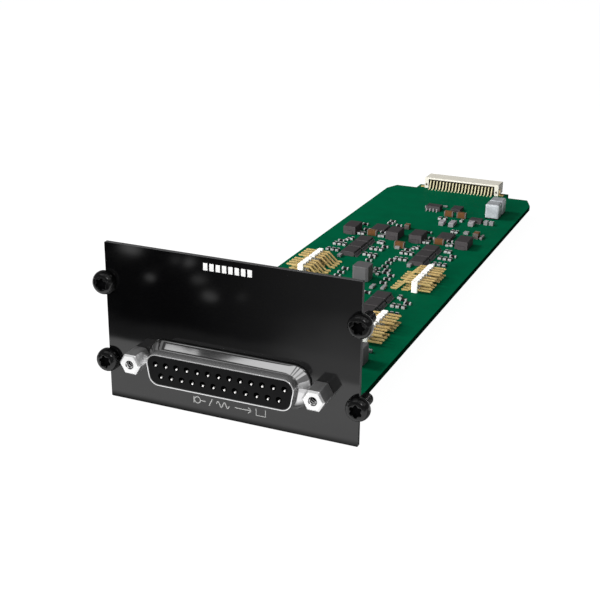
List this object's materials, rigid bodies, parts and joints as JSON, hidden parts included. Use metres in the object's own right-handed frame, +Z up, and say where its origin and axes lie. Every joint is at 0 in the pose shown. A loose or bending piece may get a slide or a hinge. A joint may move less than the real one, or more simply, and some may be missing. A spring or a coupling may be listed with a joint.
{
  "type": "microphone preamp card",
  "caption": "Plug-in microphone preamp card: black front panel with a D-sub input socket and captive screws, green circuit board and a rear board connector.",
  "frame": {"origin": "centre of the four panel screws, on the rear face of the front panel", "axes": "+Y from the panel back along the board and along the screws, +X to the right seen from the front, +Z up"},
  "size_m": [0.071, 0.2106, 0.04],
  "materials": {
    "panel_black": "gloss black paint on aluminium",
    "screw_black": "black oxide steel",
    "shell_chrome": "bright nickel plate",
    "post_nickel": "bright nickel plate, machined",
    "bracket_tin": "tin plated steel",
    "dsub_black": "moulded black",
    "contact_gold": "gold plated",
    "solder_mask": "green solder mask over glass laminate",
    "connector_ivory": "moulded ivory",
    "lead_gold": "pale gold plated",
    "tab_tin": "tin plated",
    "header_white": "moulded white",
    "pin_gold": "gold plated square wire",
    "tantalum_mould": "moulded dark grey epoxy",
    "inductor_ferrite": "grey moulded ferrite",
    "ic_mould": "moulded black epoxy",
    "lead_tin": "tin plated leads",
    "terminal_tin": "tin plated terminals",
    "can_metal": "pressed bright metal",
    "can_base": "moulded black",
    "capacitor_brown": "fired brown ceramic",
    "diode_mould": "moulded grey epoxy",
    "bead_grey": "metal capped grey ferrite",
    "resistor_black": "black glazed film"
  },
  "bodies": {
    "card": {"buffer_ic_body": "ic_mould", "buffer_ic_leads": "terminal_tin", "ceramic_capacitor_bodies": "capacitor_brown", "ceramic_capacitor_terminals": "terminal_tin", "chip_resistor_bodies": "resistor_black", "chip_resistor_terminals": "terminal_tin", "converter_ic_bodies": "ic_mould", "converter_ic_pads": "lead_tin", "diode_bodies": "diode_mould", "diode_terminals": "terminal_tin", "dsub_brackets": "bracket_tin", "dsub_contacts": "contact_gold", "dsub_insulator": "dsub_black", "dsub_shell": "shell_chrome", "dsub_tail_guide": "dsub_black", "ferrite_beads": "bead_grey", "filter_can_bases": "can_base", "filter_cans": "can_metal", "front_panel": "panel_black", "header_body_front_left": "header_white", "header_body_front_right": "header_white", "header_body_rear_left": "header_white", "header_body_rear_right": "header_white", "header_pins_front_left": "pin_gold", "header_pins_front_right": "pin_gold", "header_pins_rear_left": "pin_gold", "header_pins_rear_right": "pin_gold", "inductor_terminals": "terminal_tin", "jackposts": "post_nickel", "pcb": "solder_mask", "power_inductors": "inductor_ferrite", "preamp_ic_bodies": "ic_mould", "preamp_ic_leads": "lead_tin", "rear_connector_housing": "connector_ivory", "rear_connector_leads": "lead_gold", "rear_connector_tabs": "tab_tin", "regulator_bodies": "ic_mould", "regulator_pads": "terminal_tin", "tantalum_bodies": "tantalum_mould", "tantalum_terminals": "terminal_tin"},
    "screw_top_left": {"panel_screw_top_left": "screw_black"},
    "screw_top_right": {"panel_screw_top_right": "screw_black"},
    "screw_bottom_left": {"panel_screw_bottom_left": "screw_black"},
    "screw_bottom_right": {"panel_screw_bottom_right": "screw_black"}
  },
  "joints": [
    {"name": "screw_top_left_turn", "type": "hinge", "parent": "card", "child": "screw_top_left", "pos_m": [-0.0325, 0, 0.01], "axis": [0, 1, 0], "continuous": true},
    {"name": "screw_top_right_turn", "type": "hinge", "parent": "card", "child": "screw_top_right", "pos_m": [0.0325, 0, 0.01], "axis": [0, 1, 0], "continuous": true},
    {"name": "screw_bottom_left_turn", "type": "hinge", "parent": "card", "child": "screw_bottom_left", "pos_m": [-0.0325, 0, -0.01], "axis": [0, 1, 0], "continuous": true},
    {"name": "screw_bottom_right_turn", "type": "hinge", "parent": "card", "child": "screw_bottom_right", "pos_m": [0.0325, 0, -0.01], "axis": [0, 1, 0], "continuous": true}
  ]
}
